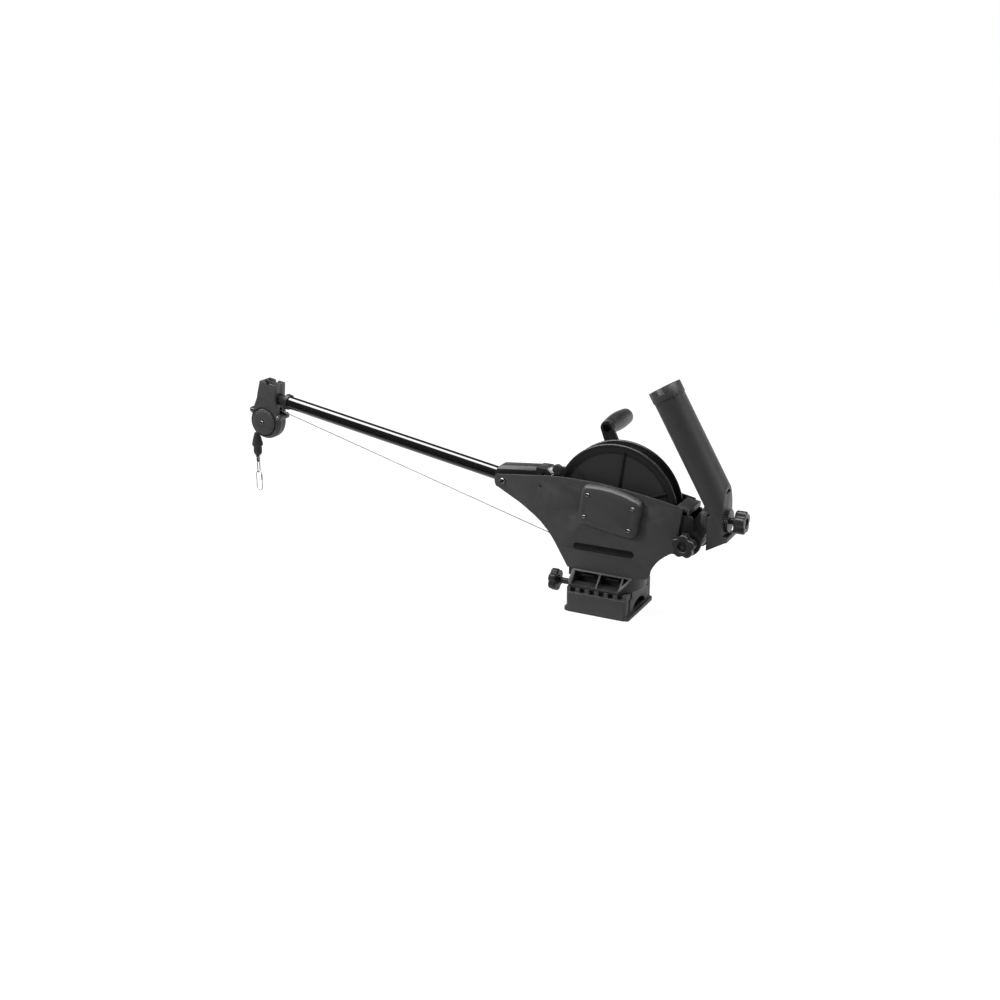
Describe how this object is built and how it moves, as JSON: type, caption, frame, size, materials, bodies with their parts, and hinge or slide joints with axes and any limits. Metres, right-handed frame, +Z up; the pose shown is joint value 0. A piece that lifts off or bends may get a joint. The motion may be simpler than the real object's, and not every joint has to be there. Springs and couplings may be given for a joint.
{
  "type": "manual downrigger",
  "caption": "Hand-cranked trolling downrigger: slide-in base, cable reel between side plates, tubular boom with swivelling pulley head, line counter and two-way rod holder.",
  "frame": {"origin": "underside of the mounting base, in the middle of its bolt holes, where it bolts down on a deck or gunwale", "axes": "+Z up from the deck; -X outboard along the boom; +Y towards the crank; the reel axle lies along Y"},
  "size_m": [0.9969, 0.2096, 0.4166],
  "materials": {
    "matte_plastic": "fine moulded texture, matte",
    "ribbed_plastic": "glass-filled moulding, matte",
    "knob_plastic": "moulded hand knob, satin",
    "gloss_black": "gloss black coated tube",
    "bright_steel": "bright stainless",
    "dark_steel": "machined steel",
    "rubber": "moulded rubber, dull",
    "cable_steel": "stranded stainless cable",
    "friction_lining": "pressed friction lining",
    "digit_plastic": "white wheel",
    "clear_window": "clear moulded window"
  },
  "bodies": {
    "base": {"mounting_base": "matte_plastic"},
    "lock_knob": {"lock_knob": "knob_plastic"},
    "frame": {"frame_foot": "ribbed_plastic", "near_side_plate": "matte_plastic", "far_side_plate": "matte_plastic", "boom_sleeve": "ribbed_plastic", "rear_bridge": "matte_plastic", "tie_spacer": "dark_steel", "boom_tube": "gloss_black", "boom_bolt": "bright_steel", "boom_nut": "bright_steel", "boom_end_plug": "ribbed_plastic", "swivel_cap": "ribbed_plastic", "axle_cover": "matte_plastic", "cover_screw_1": "bright_steel", "cover_screw_2": "bright_steel", "cover_screw_3": "bright_steel", "cover_screw_4": "bright_steel", "badge_insert": "ribbed_plastic", "axle_bush_near": "dark_steel", "axle_bush_far": "dark_steel", "pawl_pin": "bright_steel", "cable_run": "cable_steel", "counter_housing": "ribbed_plastic", "counter_window": "clear_window", "counter_shaft": "bright_steel", "rod_bracket": "ribbed_plastic"},
    "pawl": {"pawl": "dark_steel"},
    "reel": {"reel_spool": "ribbed_plastic", "reel_flange": "ribbed_plastic", "reel_axle": "bright_steel", "ratchet_wheel": "dark_steel", "clutch_disc": "dark_steel", "cable_core": "cable_steel", "cable_winding": "cable_steel"},
    "counter_drive": {"counter_drive_wheel": "rubber"},
    "digits_units": {"digit_wheel_units": "digit_plastic"},
    "digits_tens": {"digit_wheel_tens": "digit_plastic"},
    "digits_hundreds": {"digit_wheel_hundreds": "digit_plastic"},
    "crank": {"clutch_pad": "friction_lining", "crank_arm": "ribbed_plastic", "crank_nut": "bright_steel", "grip_bolt": "bright_steel"},
    "grip": {"crank_grip": "knob_plastic"},
    "head": {"head_shell_near": "matte_plastic", "head_shell_far": "matte_plastic", "pulley_cover": "knob_plastic", "pulley_bolt": "bright_steel", "head_screw_1": "bright_steel", "head_screw_2": "bright_steel", "cable_drop": "cable_steel"},
    "pulley": {"pulley": "ribbed_plastic"},
    "terminator": {"cable_bumper": "rubber", "cable_crimp": "bright_steel"},
    "swivel": {"swivel_barrel": "dark_steel"},
    "snap": {"snap_link": "bright_steel"},
    "rod_elbow": {"rod_elbow": "matte_plastic"},
    "tilt_knob": {"rod_tilt_knob": "knob_plastic"},
    "rod_holder": {"rod_tube": "matte_plastic"},
    "swing_knob": {"rod_swing_knob": "knob_plastic"}
  },
  "joints": [
    {"name": "frame_slide", "type": "slide", "parent": "base", "child": "frame", "axis": [1, 0, 0], "range_m": [0, 0.118]},
    {"name": "lock_turn", "type": "hinge", "parent": "base", "child": "lock_knob", "pos_m": [-0.106, 0, 0.03], "axis": [1, 0, 0], "continuous": true},
    {"name": "reel_spin", "type": "hinge", "parent": "frame", "child": "reel", "pos_m": [0.0103, 0, 0.1874], "axis": [0, 1, 0], "continuous": true},
    {"name": "crank_turn", "type": "hinge", "parent": "frame", "child": "crank", "pos_m": [0.0103, 0, 0.1874], "axis": [0, 1, 0], "continuous": true},
    {"name": "grip_turn", "type": "hinge", "parent": "crank", "child": "grip", "pos_m": [-0.0391, 0, 0.3045], "axis": [0, 1, 0], "continuous": true},
    {"name": "pawl_lift", "type": "hinge", "parent": "frame", "child": "pawl", "pos_m": [-0.0205, -0.039, 0.1845], "axis": [0, 1, 0], "range_deg": [-12, 0], "stiffness_Nm_per_rad": 0.02, "springref_deg": 6.88},
    {"name": "counter_drive_turn", "type": "hinge", "parent": "frame", "child": "counter_drive", "pos_m": [-0.0987, 0, 0.23947], "axis": [0, 1, 0], "continuous": true},
    {"name": "digits_units_turn", "type": "hinge", "parent": "frame", "child": "digits_units", "pos_m": [-0.1245, 0, 0.2282], "axis": [0, 1, 0], "continuous": true},
    {"name": "digits_tens_turn", "type": "hinge", "parent": "frame", "child": "digits_tens", "pos_m": [-0.1245, 0, 0.2282], "axis": [0, 1, 0], "continuous": true},
    {"name": "digits_hundreds_turn", "type": "hinge", "parent": "frame", "child": "digits_hundreds", "pos_m": [-0.1245, 0, 0.2282], "axis": [0, 1, 0], "continuous": true},
    {"name": "head_swivel", "type": "hinge", "parent": "frame", "child": "head", "pos_m": [-0.71083, 0, 0.29775], "axis": [-0.9848, 0, 0.1736], "range_deg": [-60, 60]},
    {"name": "pulley_spin", "type": "hinge", "parent": "head", "child": "pulley", "pos_m": [-0.71939, 0, 0.2492], "axis": [0, 1, 0], "continuous": true},
    {"name": "terminator_swing", "type": "hinge", "parent": "head", "child": "terminator", "pos_m": [-0.74909, 0, 0.2214], "axis": [0, 1, 0], "range_deg": [-25, 50]},
    {"name": "swivel_turn", "type": "hinge", "parent": "terminator", "child": "swivel", "pos_m": [-0.74909, 0, 0.166], "axis": [0, 0, 1], "continuous": true},
    {"name": "snap_swing", "type": "hinge", "parent": "swivel", "child": "snap", "pos_m": [-0.74909, 0, 0.1404], "axis": [0, 1, 0], "range_deg": [-60, 60]},
    {"name": "rod_tilt", "type": "hinge", "parent": "frame", "child": "rod_elbow", "pos_m": [0.1455, 0, 0.1488], "axis": [0, 1, 0], "range_deg": [0, 70]},
    {"name": "tilt_knob_turn", "type": "hinge", "parent": "frame", "child": "tilt_knob", "pos_m": [0.1455, -0.044, 0.1488], "axis": [0, 1, 0], "continuous": true},
    {"name": "rod_swing", "type": "hinge", "parent": "rod_elbow", "child": "rod_holder", "pos_m": [0.2076, 0, 0.189], "axis": [-1, 0, 0], "range_deg": [-45, 45]},
    {"name": "swing_knob_turn", "type": "hinge", "parent": "rod_elbow", "child": "swing_knob", "pos_m": [0.2076, 0, 0.189], "axis": [-1, 0, 0], "continuous": true}
  ],
  "couplings": [
    {"joint": "crank_turn", "follows": "reel_spin", "ratio": 1},
    {"joint": "pulley_spin", "follows": "reel_spin", "ratio": -3.3165},
    {"joint": "counter_drive_turn", "follows": "reel_spin", "ratio": -12.098},
    {"joint": "digits_units_turn", "follows": "reel_spin", "ratio": 0.2},
    {"joint": "digits_tens_turn", "follows": "reel_spin", "ratio": 0.02},
    {"joint": "digits_hundreds_turn", "follows": "reel_spin", "ratio": 0.002}
  ]
}
